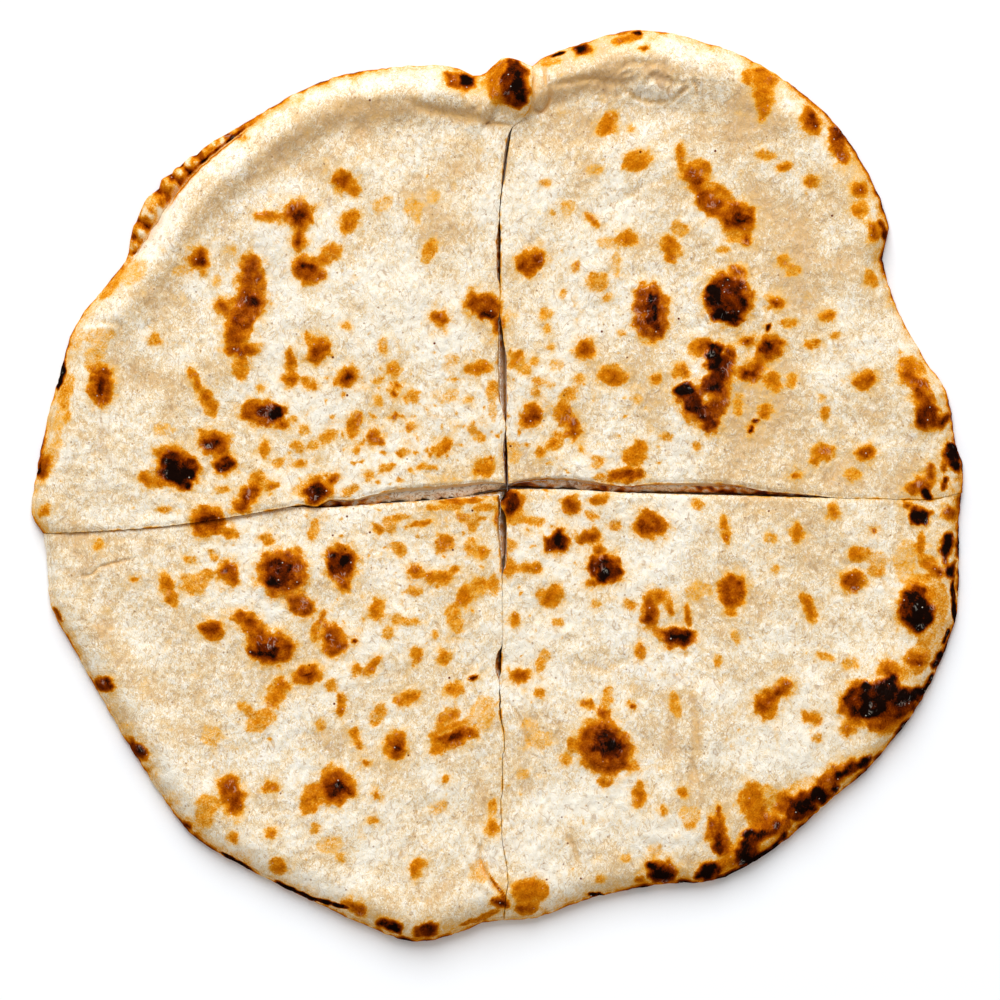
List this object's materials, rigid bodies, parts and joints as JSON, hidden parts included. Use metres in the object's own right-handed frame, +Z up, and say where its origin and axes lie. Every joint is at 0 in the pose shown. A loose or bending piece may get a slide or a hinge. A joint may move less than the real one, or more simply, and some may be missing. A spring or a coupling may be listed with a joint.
{
  "type": "cheese naan",
  "caption": "Round oven-baked cheese naan with scorched blisters, a rolled rim and a cheese filling, cut crosswise into quarters that lie together.",
  "frame": {"origin": "the middle of the bread's box, on the surface it lies on", "axes": "+Z up out of the scorched top, +Y towards the rim with the folded roll and the tall blister, +X to the right of that, seen from above"},
  "size_m": [0.2325, 0.2276, 0.0122],
  "materials": {
    "baked_dough": "baked wheat dough, cream with golden, brown and black scorch spots",
    "melted_cheese": "pale melted cheese, slightly glossy"
  },
  "bodies": {
    "root": {"quarter_nw_dough": "baked_dough", "quarter_ne_dough": "baked_dough", "quarter_se_dough": "baked_dough", "quarter_sw_dough": "baked_dough", "quarter_nw_cheese": "melted_cheese", "quarter_ne_cheese": "melted_cheese", "quarter_se_cheese": "melted_cheese", "quarter_sw_cheese": "melted_cheese"}
  },
  "joints": []
}
